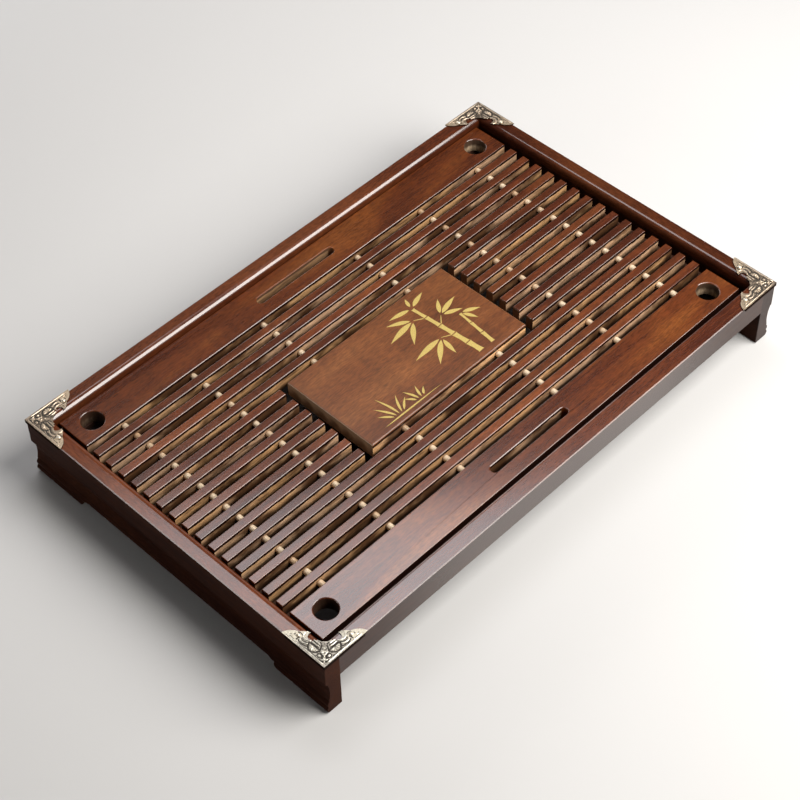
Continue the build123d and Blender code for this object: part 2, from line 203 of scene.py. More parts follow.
# Where looks change over, as the start and the end of a ramp in metres.
MIDDLE = (-0.02, 0.02)  # from the left half to the right, or from the front half to the back
HOLES_FROM = (0.10, 0.11)  # on to the finger holes, along X
SLOTS_UNTIL = (0.040, 0.045)  # off the drain slots, along X
BACK_RAIL_FROM = (0.10, 0.11)  # on to the back rail, along Y
TO_RAIL_ENDS = (0.07, 0.20)  # from a rail's middle to its ends


def wood_tree(name, kind, grain):
    """Stained wood: cloudy tone, soft figure, fine fibres and short dark pores along the grain.

    Returns the tree, which keeps its streaks for the lacquer, and the colour."""
    dark, base, light = WOOD_TONES[kind]
    pores, figure = PORES_AND_FIGURE[kind]
    tree = Tree(name)
    tree.noise_coords = tree.vector("ADD", tree.coords, tree.attribute("grain_shift", "Vector"))
    slow = tuple(min(1.0, 8 * g) for g in grain)
    short = tuple(min(1.0, 5 * g) for g in grain)
    tiny = (grain[0] * 2.2, grain[1] * 2.2, grain[2])
    across = tuple(1.0 if g < 1 else 0.16 for g in grain[:2]) + (1.0,)
    cloud = tree.noise(26, slow, detail=3, roughness=0.5, distortion=0.6)
    broad = tree.noise(120, grain, detail=3, roughness=0.55, distortion=1.2)
    tree.streak = tree.noise(420, grain, detail=4, roughness=0.62, distortion=0.5)
    fibre = tree.noise(1250, short, detail=4, roughness=0.72)
    pore = tree.noise(2100, tiny, detail=1)
    ripple = tree.noise(75, across, detail=2, distortion=0.8)
    tone = tree.math("ADD", tree.times(cloud, 0.62), tree.times(broad, 0.38))
    colour = tree.mix(tree.ramp(tone, 0.36, 0.56), rgb(*dark), rgb(*base))
    lit = tree.times(tree.ramp(cloud, 0.50, 0.72), figure)
    colour = tree.mix(lit, colour, rgb(*light))
    lit = tree.times(tree.ramp(tree.streak, 0.54, 0.80), 0.55 * figure)
    colour = tree.mix(lit, colour, rgb(*light))
    colour = tree.shade(colour, tree.ramp(ripple, 0.30, 0.70, 0.90, 1.10))
    colour = tree.shade(colour, tree.ramp(fibre, 0.32, 0.68, 0.66, 1.34))
    # Each piece's tone: partly its own, partly painted light.
    colour = tree.shade(colour, tree.attribute("tone"))
    specks = tree.times(tree.ramp(pore, 0.63, 0.74), pores)
    colour = tree.mix(specks, colour, rgb(*(0.35 * c for c in dark)))
    tree.bump(tree.math("SUBTRACT", fibre, specks), 0.04 * MM, 0.4)
    return tree, colour


def lacquer(tree, roughness, coat, coat_roughness=COAT_ROUGHNESS, body_gloss=0.06):
    """A brushed clear coat over wood that is itself nearly dull."""
    roughness = tree.ramp(tree.streak, 0.2, 0.8, roughness - 0.05, roughness + 0.07)
    tree.set(Roughness=roughness, Specular_IOR_Level=body_gloss, Coat_IOR=COAT_IOR)
    tree.set(Coat_Weight=coat, Coat_Roughness=coat_roughness)


def coat_on_top(tree, coat):
    """Coat weight: full on the tops and arrises, none on the bare sides."""
    return tree.ramp(tree.normal_z, 0.10, 0.40, 0.0, coat)


def under_top(tree, height, low, high, at_low=1.0, at_high=0.0):
    """At low millimetres under the grille's top at_low, changing to at_high at high millimetres."""
    return tree.ramp(height, SLAT_TOP - low * MM, SLAT_TOP - high * MM, at_low, at_high)


def frame_wood(name, grain, gloss, gloss_from):
    """End boards and rails: red brown rim with a full coat, outer sides painted dark as shade,
    aprons with a thin coat and a painted sheen.

    gloss is the weight of the rim's coat, and gloss_from how far up an edge must face to carry it.
    The back rail's coat is thin where its edge starts to turn down."""
    tree, colour = wood_tree(name, "frame", grain)
    x, y = tree.absolute(tree.x), tree.absolute(tree.y)
    upward = tree.normal_z
    high = tree.ramp(tree.z, RIM_Z - 9 * MM, RIM_Z - 5 * MM)
    past_x = tree.ramp(x, HALF_LENGTH - 7 * MM, HALF_LENGTH - 6 * MM)
    past_y = tree.ramp(y, HALF_WIDTH - 7 * MM, HALF_WIDTH - 6 * MM)
    inside = tree.inverse(tree.math("MAXIMUM", past_x, past_y))
    # Painted shade: near the rim, faces that look up keep the wood's colour and the inner faces
    # most of it; the outer sides and everything lower turn dark.
    stained = tree.math("MAXIMUM", tree.ramp(upward, 0.25, 0.80), tree.times(inside, 0.65))
    stained = tree.times(stained, high)
    glossy = tree.times(tree.ramp(upward, gloss_from, gloss_from + 0.18, 0.0, gloss), high)
    turn = tree.times(tree.ramp(upward, 0.86, 0.93), tree.ramp(upward, 0.985, 0.998, 1.0, 0.0))
    thin = tree.times(turn, tree.ramp(tree.y, *BACK_RAIL_FROM, 0.0, 0.9))
    glossy = tree.times(glossy, tree.inverse(thin))
    # The sides' coat weight, which also scales the painted sheen: weaker towards a rail's ends, and
    # only on the front and back outer faces.
    satin = tree.times(tree.attribute("satin"), tree.ramp(x, *TO_RAIL_ENDS, 1.0, 0.40))
    satin = tree.times(satin, tree.ramp(y, HALF_WIDTH - 0.7 * MM, HALF_WIDTH - 0.3 * MM))
    # The sides are mixed towards near black: painted shade.
    dull = tree.mix(0.78, colour, SHADED_SIDE)
    # Painted sheen: a grey haze mixed into the colour of the sides.
    dull = tree.mix(tree.times(satin, 0.6), dull, PAINTED_SHEEN)
    tree.set(Base_Color=tree.mix(stained, dull, colour))
    lacquer(tree, 0.42, tree.math("MAXIMUM", glossy, satin), body_gloss=0.02)
    return tree.material


def board_wood():
    """Boards of the grille: warm top, pale inner walls, outer walls painted dark as the shade in
    the gap to the rail.

    The finger holes have walls of their own. The back drain slot is stained below its edge, and
    the coat is thin on its arris."""
    tree, colour = wood_tree("wood_board", "board", ALONG_X)
    colour = pale_walls(tree, colour)
    along = tree.absolute(tree.x)
    away = tree.absolute(tree.math("SUBTRACT", tree.y, GRILLE_Y))
    inner_edge = GRILLE_HALF_WIDTH - BOARD_WIDTH
    off_edge = tree.ramp(away, inner_edge + 1 * MM, inner_edge + 2 * MM)
    below = under_top(tree, tree.z, 0.7, 0.5)
    hole = tree.times(tree.ramp(along, *HOLES_FROM), off_edge)
    colour = tree.mix(tree.times(hole, below), colour, hole_wall(tree))
    # Painted shade: the long outer side, across a narrow gap from the rail, is near black.
    outer = tree.ramp(away, GRILLE_HALF_WIDTH - 0.3 * MM, GRILLE_HALF_WIDTH - 0.1 * MM)
    colour = tree.mix(outer, colour, SHADED_OUTER_WALL)
    slot = tree.times(tree.ramp(along, *SLOTS_UNTIL, 1.0, 0.0), off_edge)
    back_slot = tree.times(slot, tree.ramp(tree.y, *MIDDLE))
    stain = tree.times(tree.times(back_slot, below), 0.6)
    tree.set(Base_Color=tree.mix(stain, colour, SLOT_STAIN))
    arris = tree.times(back_slot, tree.ramp(tree.normal_z, 0.93, 0.99, 0.9, 0.0))
    lacquer(tree, 0.40, tree.times(coat_on_top(tree, 0.95), tree.inverse(arris)))
    return tree.material


def hole_wall(tree):
    """Stain ran into the finger holes from above: nearly all the way in the left ones, less in
    the right ones."""
    at_back = tree.ramp(tree.y, *MIDDLE, 0.03, 0.15)
    at_right = tree.ramp(tree.x, *MIDDLE, 0.0, 0.62)
    bare = tree.math("ADD", at_back, at_right)
    wander = tree.times(tree.noise(260, detail=3), 5 * MM)
    level = under_top(tree, tree.math("ADD", tree.z, wander), 5.5, 1.5, 1.0, 0.08)
    smears = tree.ramp(tree.noise(420, (1, 1, 0.3), detail=3), 0.35, 0.65, 0.5, 1.0)
    bare = tree.times(tree.times(bare, level), smears)
    return tree.mix(bare, *HOLE_WALL)


def pale_walls(tree, colour, gain=1.0):
    """Side faces: stain runs a little over the edge, then bare bamboo, painted darker again low
    down as the shade deep between the slats.
    """
    wander = tree.noise(600, (0.25, 1, 0.6), detail=3)
    wander = tree.times(tree.math("SUBTRACT", wander, 0.5), 2.2 * MM)
    level = tree.math("ADD", tree.z, wander)
    edge = under_top(tree, tree.z, 0.5, 0.4)
    below = under_top(tree, level, 2.8, 2.0)
    # Painted shade: low on the side faces the colour turns dark.
    foot = under_top(tree, level, 9.5, 6, 0.9, 0.0)
    facing = tree.ramp(tree.absolute(tree.normal_y), 0.86, 0.96)
    patches = tree.noise(34, (0.5, 1, 1), detail=4, roughness=0.6)
    golden = tree.noise(15, (0.6, 1, 1), detail=2)
    smears = tree.noise(260, (0.12, 1, 0.8), detail=3, roughness=0.6)
    fine = tree.noise(1300, (0.08, 1, 1), detail=3, roughness=0.65)
    bare = tree.mix(tree.ramp(golden, 0.42, 0.58), *BARE_BAMBOO)
    pale = tree.mix(tree.ramp(patches, 0.40, 0.56), BROWN_PATCH, bare)
    pale = tree.mix(tree.ramp(smears, 0.50, 0.66, 0.0, 0.7), pale, BROWN_SMEAR)
    pale = tree.shade(pale, tree.ramp(fine, 0.3, 0.72, 0.58 * gain, 1.22 * gain))
    pale = tree.mix(foot, pale, SHADED_FOOT)
    colour = tree.mix(tree.times(edge, facing), colour, EDGE_STAIN)
    return tree.mix(tree.times(below, facing), colour, pale)


def end_grain(tree, colour, weight, end_colour):
    """The faces across the grain take another colour."""
    ends = tree.ramp(tree.absolute(tree.normal_x), 0.6, 0.9)
    return tree.mix(tree.times(ends, weight), colour, end_colour)


def slat_wood():
    """Slats: lacquered tops and arrises, bare sides, stained ends."""
    tree, colour = wood_tree("wood_slat", "slat", ALONG_X)
    colour = pale_walls(tree, colour)
    tree.set(Base_Color=end_grain(tree, colour, 0.8, SLAT_END))
    lacquer(tree, 0.40, coat_on_top(tree, 0.72))
    return tree.material


def plaque_wood():
    """Plaque: lighter than the slats, with a thinner and duller coat and pale ends."""
    tree, colour = wood_tree("wood_plaque", "plaque", ALONG_X)
    colour = pale_walls(tree, colour, gain=1.70)
    tree.set(Base_Color=end_grain(tree, colour, 0.85, PLAQUE_END))
    lacquer(tree, 0.50, 0.40, coat_roughness=0.28)
    return tree.material


def inner_wood():
    """Ledges, runners and stop: thin stain, no clear coat."""
    tree, colour = wood_tree("wood_inner", "inner", ALONG_X)
    tree.set(Base_Color=colour, Roughness=0.62, Specular_IOR_Level=0.35)
    return tree.material


def dowel_wood():
    """Pale bamboo sticks in another tone in every gap, browned by the stain beside each slat."""
    tree = Tree("wood_dowel")
    fibre = tree.noise(1400, (1, 0.06, 1), detail=3)
    along = tree.math("SUBTRACT", tree.y, GRILLE_Y)
    gap = tree.math("FLOOR", tree.math("DIVIDE", along, SLAT_PITCH))
    place = tree.add("ShaderNodeCombineXYZ", {0: tree.x, 1: gap}).outputs[0]
    cell = tree.vector("SNAP", place, (DOWEL_CELL, 1.0, 1.0))
    chance = tree.add("ShaderNodeTexWhiteNoise", {"Vector": cell}, noise_dimensions="3D")
    colour = tree.mix(tree.ramp(chance.outputs["Value"], 0.0, 0.5), *DOWEL_TONES)
    colour = tree.shade(colour, tree.ramp(fibre, 0.25, 0.75, 0.82, 1.10))
    from_slat = tree.math("PINGPONG", along, SLAT_PITCH / 2)
    stain = tree.ramp(from_slat, 2.9 * MM, 4.3 * MM, 0.78, 0.0)
    tree.set(Base_Color=tree.mix(stain, colour, DOWEL_STAIN), Roughness=0.38)
    tree.set(Specular_IOR_Level=0.45, Coat_Weight=0.6, Coat_Roughness=0.2)
    tree.bump(fibre, 0.05 * MM, 0.5)
    return tree.material


# ------------------------------------------------------------------ metal, plastic, rubber, paint
# Dark and bright tone of each speckled finish. A plate has one pair for its field and one for
# the tips of its arms.
SPECKLES = {
    "field": (rgb(0.180, 0.158, 0.124), rgb(0.500, 0.455, 0.375)),
    "tip": (rgb(0.520, 0.465, 0.350), rgb(0.780, 0.720, 0.580)),
    "relief": (rgb(0.680, 0.625, 0.500), rgb(0.950, 0.910, 0.790)),
    # Black of the lines between the raised parts: oxide and painted shade.
    "patina": (rgb(0.016, 0.012, 0.009), rgb(0.060, 0.050, 0.038)),
    "plastic": (rgb(0.0235, 0.0205, 0.0185), rgb(0.0285, 0.0250, 0.0225)),
    "rubber": (rgb(0.018, 0.018, 0.018), rgb(0.045, 0.044, 0.043)),
    "gold": (rgb(0.395, 0.278, 0.068), rgb(0.690, 0.530, 0.160)),
}
PLATE_EDGE = rgb(0.016, 0.010, 0.0075)


def aged(tree, colour):
    """Three of the brackets have yellowed more than the fourth."""
    return tree.mix(1.0, colour, tree.attribute("age", "Color"), "MULTIPLY")


def antique_plate():
    """Stamped plate: silvered, brighter at the arms' tips, black on its turned-down edge."""
    tree = Tree("brass_plate")
    x = tree.math("SUBTRACT", HALF_LENGTH, tree.absolute(tree.x))
    y = tree.math("SUBTRACT", HALF_WIDTH, tree.absolute(tree.y))
    at_tip = tree.ramp(tree.math("MAXIMUM", x, y), 20 * MM, 27 * MM)
    mottle = tree.noise(900, detail=4, roughness=0.65)
    field = tree.mix(tree.ramp(mottle, 0.36, 0.60), *SPECKLES["field"])
    tip = tree.mix(tree.ramp(mottle, 0.35, 0.7), *SPECKLES["tip"])
    top = tree.ramp(tree.normal_z, 0.3, 0.8)
    colour = aged(tree, tree.mix(at_tip, field, tip))
    tree.set(Base_Color=tree.mix(top, PLATE_EDGE, colour))
    tree.set(Metallic=tree.ramp(top, 0.0, 1.0, 0.0, 0.85), Specular_IOR_Level=0.0)
    tree.set(Roughness=tree.ramp(mottle, 0.2, 0.8, 0.36, 0.48))
    tree.bump(mottle, 0.06 * MM, 0.5)
    return tree.material


def antique_relief():
    """Raised parts, bright from handling."""
    tree = Tree("brass_relief")
    mottle = tree.noise(900, detail=4, roughness=0.6)
    colour = tree.mix(tree.ramp(mottle, 0.3, 0.7), *SPECKLES["relief"])
    tree.set(Base_Color=aged(tree, colour), Metallic=0.8)
    tree.set(Roughness=tree.ramp(mottle, 0.2, 0.8, 0.26, 0.38))
    tree.bump(mottle, 0.03 * MM, 0.4)
    return tree.material


def patina():
    """Black lines beside the raised parts: oxide of the real hollows, and painted shade, since the
    plate is flat there.
    """
    tree = Tree("brass_patina")
    colour = tree.mix(tree.ramp(tree.noise(1100, detail=3), 0.3, 0.7), *SPECKLES["patina"])
    tree.set(Base_Color=colour, Metallic=0.3, Roughness=0.6)
    return tree.material


def moulded_plastic():
    """Dark plastic of the water tray, finely eroded."""
    tree = Tree("plastic_tray")
    grain = tree.noise(2400, detail=2)
    colour = tree.mix(tree.ramp(tree.noise(30, detail=3), 0.3, 0.7), *SPECKLES["plastic"])
    tree.set(Base_Color=colour, Roughness=tree.ramp(grain, 0.2, 0.8, 0.42, 0.56))
    tree.bump(grain, 0.05 * MM, 0.5)
    return tree.material


def rubber():
    """Black foot pads."""
    tree = Tree("rubber_pad")
    grain = tree.noise(1800, detail=3)
    colour = tree.mix(tree.ramp(grain, 0.3, 0.7), *SPECKLES["rubber"])
    tree.set(Base_Color=colour, Roughness=0.8)
    tree.bump(grain, 0.08 * MM, 0.6)
    return tree.material


def gold_paint():
    """Matt gold screen print on the plaque."""
    tree = Tree("paint_gold")
    sand = tree.noise(2300, detail=3, roughness=0.7)
    colour = tree.mix(tree.ramp(sand, 0.34, 0.66), *SPECKLES["gold"])
    tree.set(Base_Color=colour, Metallic=0.15, Roughness=0.48)
    tree.bump(sand, 0.04 * MM, 0.5)
    return tree.material


materials = {
    "frame_x": frame_wood("wood_frame_x", ALONG_X, gloss=1.0, gloss_from=0.38),
    "frame_y": frame_wood("wood_frame_y", ALONG_Y, gloss=0.69, gloss_from=0.58),
    "board": board_wood(),
    "slat": slat_wood(),
    "plaque": plaque_wood(),
    "inner": inner_wood(),
    "dowel": dowel_wood(),
    "plate": antique_plate(),
    "relief": antique_relief(),
    "patina": patina(),
    "tray": moulded_plastic(),
    "rubber": rubber(),
    "gold": gold_paint(),
}

# ------------------------------------------------------------------ finish of each CAD node
# By the first start of a name that fits; all other nodes are inner wood.
FINISHES = {
    "end_board": "frame_y",
    "rail": "frame_x",
    "board": "board",
    "slat": "slat",
    "plaque": "plaque",
    "cross_dowel": "dowel",
    "bracket_tacks": "relief",
    "bracket": "plate",
    "water_tray": "tray",
    "foot_pads": "rubber",
}
# Every piece is cut from another place of the wood: the shift from one piece to the next.
GRAIN_STEP = (0.377, 0.0613, 0.0291)
# How light a piece's wood is: partly its own tone, partly painted light, brighter for pieces at the
# near left and darker towards the back and the right. Slats vary about a tone of their own, by a
# sine of their index.
TONES_AND_PAINTED_LIGHT = {
    "end_board_left": 1.18,
    "end_board_right": 0.64,
    "rail_front": 1.10,
    "rail_back": 0.95,
    "board_back": 0.82,
    "board_front": 0.88,
    "plaque": 0.86,
}
SLAT_TONE = 0.93
SLAT_TONE_SWING = 0.18
SLAT_TONE_TURN = 2.4
# Coat weight on the outer side of a rail or an end board, which also sets how much painted sheen is
# mixed into its colour.
SATIN_AND_SHEEN_WEIGHTS = {"rail_front": 0.90, "rail_back": 0.36, "end_board_left": 0.06, "end_board_right": 0.75}
# Tint of the metal at a corner: one bracket is still silvery.
AGES = {"front_left": (1.04, 1.05, 1.08)}
YELLOWED = (0.86, 0.75, 0.68)
TACK_AGE = (0.95, 0.90, 0.86)
# The sanded arrises of the grille: edges sharper than so many degrees are eased.
EASE_WIDTH = 0.25 * MM
EASE_SEGMENTS = 2
EASE_ANGLE = 40
WELD_DISTANCE = 1e-6


def material_of(node_name):
    for start, kind in FINISHES.items():
        if node_name.startswith(start):
            return materials[kind]
    return materials["inner"]


def tone_of(node_name, index):
    if node_name.startswith("slat"):
        return SLAT_TONE + SLAT_TONE_SWING * math.sin(SLAT_TONE_TURN * index)
    return TONES_AND_PAINTED_LIGHT.get(node_name, 1.0)


def ease(node):
    """Welds a node's faces together and rounds its sharp edges, by modifiers alone."""
    weld = node.modifiers.new("weld", "WELD")
    weld.merge_threshold = WELD_DISTANCE
    bevel = node.modifiers.new("ease", "BEVEL")
    bevel.width = EASE_WIDTH
    bevel.segments = EASE_SEGMENTS
    bevel.limit_method = "ANGLE"
    bevel.angle_limit = math.radians(EASE_ANGLE)
    bevel.harden_normals = True


for index, (name, node) in enumerate(sorted(nodes.items())):
    node["grain_shift"] = [step * index for step in GRAIN_STEP]
    node["age"] = AGES.get(name.replace("bracket_", ""), YELLOWED)
    node["tone"] = tone_of(name, index)
    node["satin"] = SATIN_AND_SHEEN_WEIGHTS.get(name, 0.0)
    finish = material_of(name)
    for slot in node.material_slots:
        slot.material = finish
    if name.startswith(("board", "slat", "plaque")):
        ease(node)


# ------------------------------------------------------------------ mesh helpers
def add_object(name, data):
    item = bpy.data.objects.new(name, data)
    bpy.context.scene.collection.objects.link(item)
    return item


def set_smooth(mesh, smooth):
    for polygon in mesh.polygons:
        polygon.use_smooth = smooth


def new_piece(name, mesh, material, body, smooth=True):
    piece = add_object(name, mesh)
    mesh.materials.append(material)
    set_smooth(mesh, smooth)
    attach(piece, body)
    return piece


def mesh_from(bm, name):
    bmesh.ops.recalc_face_normals(bm, faces=bm.faces)
    mesh = bpy.data.meshes.new(name)
    bm.to_mesh(mesh)
    bm.free()
    return mesh


def skin(bm, rings):
    """Quads from each ring of vertices to the next."""
    for a, b in zip(rings, rings[1:]):
        for k in range(len(a)):
            n = (k + 1) % len(a)
            bm.faces.new((a[k], a[n], b[n], b[k]))


def on_ellipse(center, radii, degrees):
    angle = math.radians(degrees)
    return center[0] + radii[0] * math.cos(angle), center[1] + radii[1] * math.sin(angle)


def arc_points(center, radii, start, end, count):
    """Points on an elliptic arc, angles in degrees."""
    steps = [i / (count - 1) for i in range(count)]
    return [on_ellipse(center, radii, start + (end - start) * t) for t in steps]


# ------------------------------------------------------------------ bracket relief
# Drawn in millimetres from the frame's outer corner, u along X and v along Y. What stands on one
# arm is mirrored on the diagonal onto the other arm.
BRACKET_REACH = 35.2
SHELL_CENTER = (13.9, 5.4)
SHELL_RADII = ((0.9, 0.7), (3.1, 2.7))
SHELL_RAYS = (200, 234, 270, 306, 340)
TACK_ALONG, TACK_ACROSS = 26.9, 4.8
TACK_RADIUS, TACK_HEIGHT = 1.6, 1.0
TUBE_SIDES = 8
RELIEF_TOP = 0.55
GROOVE_RISE = 0.03
# A line of more points than this is an arc that needs no smoothing.
MOST_KNOTS = 6
STEPS_PER_KNOT = 4


def bead(points, width, end_width=None):
    """A raised line: its points, its half width at the start and at the end."""
    return points, (width, width if end_width is None else end_width)


def arm_ridges():
    """Edge bead, curl, drop, two fillets, leaf, swell round the notch and fan shell."""
    ridges = [
        bead([(1.8, 0.4), (BRACKET_REACH * 0.5, 0.4), (BRACKET_REACH - 2.4, 0.4)], 0.42, 0.32),
        bead([(1.9, 4.7), (2.2, 3.7), (3.3, 3.1), (4.2, 3.7)], 0.50, 0.40),
        bead([(6.6, 3.1), (7.8, 3.1)], 0.66, 0.56),
        bead([(12.4, 7.5), (14.8, 7.3), (17.4, 7.4)], 0.36, 0.42),
        bead([(13.6, 9.2), (15.6, 9.0), (17.6, 8.8)], 0.42, 0.46),
        bead([(18.5, 4.2), (19.9, 3.2), (21.7, 2.8), (23.4, 3.1), (24.3, 3.9)], 0.46, 0.30),
        bead(
            [(18.3, 7.2), (19.8, 6.0), (22.2, 5.5), (24.2, 6.6), (24.9, 8.6), (24.2, 10.4)],
            0.55,
            0.45,
        ),
        bead([(7.5, 5.9), (8.6, 5.4)], 0.50, 0.34),
        bead([(28.6, 2.2), (30.4, 1.9)], 0.34, 0.20),
    ]
    for angle in SHELL_RAYS:
        ray = [on_ellipse(SHELL_CENTER, radii, angle) for radii in SHELL_RADII]
        ridges.append(bead(ray, 0.26, 0.56))
    return ridges


def arm_grooves():
    """Dark lines where hollows are stamped between the raised forms: oxide, and painted shade, as
    they lie flat on the plate.
    """
    return [
        bead([(1.2, 5.5), (1.1, 3.8), (2.0, 2.3), (3.7, 1.9), (5.0, 2.8), (5.2, 4.4)], 0.48, 0.40),
        bead([(2.9, 4.9), (3.3, 4.3), (3.8, 4.6)], 0.30, 0.22),
        bead(arc_points((7.2, 3.1), (1.6, 1.25), 0, 360, 17), 0.40),
        bead(arc_points((13.9, 5.9), (4.2, 4.2), 180, 360, 15), 0.48),
        bead([(9.6, 6.1), (13.8, 5.9), (18.2, 5.8)], 0.46),
        bead([(9.1, 4.8), (9.8, 6.4), (10.9, 8.2), (11.6, 9.6)], 0.46, 0.50),
        bead([(11.4, 6.9), (14.5, 6.55), (17.8, 6.6)], 0.30),
        bead([(12.0, 8.4), (14.5, 8.15), (17.7, 8.1)], 0.38),
        bead([(11.9, 9.9), (14.2, 10.0)], 0.46, 0.30),
        bead([(16.4, 3.4), (18.4, 2.2), (21.2, 1.7), (23.4, 2.0), (24.8, 2.9)], 0.46, 0.34),
        bead([(18.4, 5.7), (19.5, 4.5), (21.8, 3.9), (24.0, 4.8)], 0.44, 0.28),
        bead([(25.5, 1.6), (25.6, 3.0), (25.0, 4.6)], 0.40, 0.46),
        bead([(24.8, 6.4), (26.4, 7.0), (28.3, 6.2)], 0.30, 0.36),
        bead([(28.9, 3.4), (29.0, 4.8)], 0.34, 0.26),
        bead([(5.3, 4.2), (6.8, 4.7), (8.3, 4.5)], 0.42, 0.36),
        bead([(4.3, 5.7), (5.0, 6.9)], 0.30, 0.20),
        bead([(8.6, 1.5), (10.2, 1.5), (12.2, 1.2)], 0.34, 0.20),
        bead([(14.6, 1.1), (16.2, 1.5), (17.4, 1.3)], 0.20, 0.30),
        bead([(12.9, 4.8), (11.5, 2.7)], 0.16, 0.28),
        bead([(14.9, 4.8), (16.3, 2.7)], 0.16, 0.28),
        bead([(8.9, 7.5), (9.6, 8.6)], 0.40, 0.30),
        bead([(12.2, 5.0), (10.5, 3.9)], 0.14, 0.24),
        bead([(15.6, 5.0), (17.3, 3.9)], 0.14, 0.24),
        bead([(10.4, 7.9), (10.9, 9.0)], 0.28, 0.20),
        bead([(19.2, 2.7), (21.4, 2.35), (23.2, 2.6)], 0.18, 0.14),
        bead([(20.2, 5.0), (22.2, 4.7), (23.8, 5.5)], 0.18, 0.14),
        bead([(26.4, 1.2), (28.4, 1.3), (30.4, 1.1)], 0.16, 0.22),
        bead([(30.2, 2.9), (31.2, 2.4)], 0.16, 0.22),
        bead([(0.9, 7.0), (1.0, 8.6)], 0.24, 0.16),
        bead([(2.2, 1.05), (5.4, 0.95), (9.2, 1.0)], 0.20, 0.14),
        bead([(17.6, 0.95), (21.0, 0.90), (25.2, 1.0)], 0.18, 0.14),
        bead([(9.6, 3.2), (9.9, 4.2)], 0.22, 0.16),
    ]


CORNER_RIDGES = [
    bead(arc_points((6.4, 6.4), (1.15, 1.15), 0, 360, 17), 0.42),
    bead([(8.4, 8.4), (9.2, 9.2)], 0.80, 0.50),
    bead([(5.3, 5.3), (4.4, 4.4)], 0.55, 0.36),
    bead([(1.9, 1.9), (2.7, 2.7)], 0.30, 0.40),
]
CORNER_GROOVES = [
    bead([(6.3, 6.3), (6.5, 6.5)], 0.48),
    bead(arc_points((6.6, 6.6), (2.2, 2.2), 130, 320, 13), 0.30),
    bead([(10.9, 10.9), (11.3, 11.3)], 0.42),
]


def both_arms(lines):
    """Lines of one arm, and the same mirrored on the diagonal."""
    return lines + [([(v, u) for u, v in points], widths) for points, widths in lines]


def smooth_path(points):
    """Catmull-Rom points through the given ones."""
    knots = [Vector(p) for p in points]
    if len(knots) > MOST_KNOTS:
        return knots
    ends = [knots[0], *knots, knots[-1]]
    path = []
    for p0, p1, p2, p3 in zip(ends, ends[1:], ends[2:], ends[3:]):
        for s in range(STEPS_PER_KNOT):
            t = s / STEPS_PER_KNOT
            square = (2 * p0 - 5 * p1 + 4 * p2 - p3) * t * t
            cube = (3 * p1 - p0 - 3 * p2 + p3) * t * t * t
            path.append(0.5 * (2 * p1 + (p2 - p0) * t + square + cube))
    return [*path, knots[-1]]


def add_tube(bm, points, widths, place, height=None):
    """A closed rounded ridge along points in the (u, v) plane, half sunk into the plate."""
    path = smooth_path(points)
    rings = []
    for i, p in enumerate(path):
        tangent = (path[min(i + 1, len(path) - 1)] - path[max(i - 1, 0)]).normalized()
        side = Vector((-tangent.y, tangent.x))
        width = widths[0] + (widths[1] - widths[0]) * i / (len(path) - 1)
        rise = min(RELIEF_TOP, 0.9 * width) if height is None else height
        ring = []
        for k in range(TUBE_SIDES):
            a = 2 * math.pi * k / TUBE_SIDES
            flat = p + side * (width * math.cos(a))
            ring.append(bm.verts.new(place(flat.x, flat.y, rise * math.sin(a))))
        rings.append(ring)
    skin(bm, rings)
    bm.faces.new(rings[0][::-1])
    bm.faces.new(rings[-1])


def add_dome(bm, center, radius, height, place, levels=4, sides=16):
    """A round head: half an ellipsoid standing on the plate, closed below."""
    rings = []
    for level in range(levels):
        a = math.pi / 2 * level / levels
        ring = []
        for k in range(sides):
            b = 2 * math.pi * k / sides
            u = center[0] + radius * math.cos(a) * math.cos(b)
            v = center[1] + radius * math.cos(a) * math.sin(b)
            ring.append(bm.verts.new(place(u, v, height * math.sin(a))))
        rings.append(ring)
    top = bm.verts.new(place(center[0], center[1], height))
    skin(bm, rings)
    for k in range(sides):
        bm.faces.new((rings[-1][k], rings[-1][(k + 1) % sides], top))
    bm.faces.new(rings[0][::-1])


def corner_place(side_x, side_y):
    """Turns (u, v, height) in millimetres at one corner into a point of the shared frame."""

    def place(u, v, height):
        return (
            side_x * (HALF_LENGTH - u * MM),
            side_y * (HALF_WIDTH - v * MM),
            PLATE_TOP + height * MM,
        )

    return place


CORNERS = {
    "front_left": (-1, -1),
    "front_right": (1, -1),
    "back_left": (-1, 1),
    "back_right": (1, 1),
}

tack_bm = bmesh.new()
for corner, sides in CORNERS.items():
    place = corner_place(*sides)
    raised = bmesh.new()
    for points, widths in CORNER_RIDGES + both_arms(arm_ridges()):
        add_tube(raised, points, widths, place)
    # Flat dark lines beside the ridges: oxide and painted shade.
    oxide_and_shade = bmesh.new()
    for points, widths in CORNER_GROOVES + both_arms(arm_grooves()):
        add_tube(oxide_and_shade, points, widths, place, GROOVE_RISE)
    for kind, bm, finish in (("relief", raised, "relief"), ("tarnish", oxide_and_shade, "patina")):
        name = f"{kind}_{corner}"
        mesh = mesh_from(bm, name)
        piece = new_piece(name, mesh, materials[finish], "frame")
        piece["age"] = AGES.get(corner, YELLOWED)
    for u, v in ((TACK_ALONG, TACK_ACROSS), (TACK_ACROSS, TACK_ALONG)):
        add_dome(tack_bm, (u, v), TACK_RADIUS, TACK_HEIGHT, place)

tack_mesh = mesh_from(tack_bm, "tack_heads")
tacks = new_piece("tack_heads", tack_mesh, materials["relief"], "frame")
tacks["age"] = TACK_AGE
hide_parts("bracket_tacks")


# ------------------------------------------------------------------ plaque print
# Bamboo in gold: jointed canes with sprays of pointed leaves beside a low bank of grass.
# Millimetres from the plaque's middle.
PRINT_RISE = 0.04
PRINT_STEP = 0.0001
LEAF_STEPS = 14
TWIG_WIDTH = 0.75
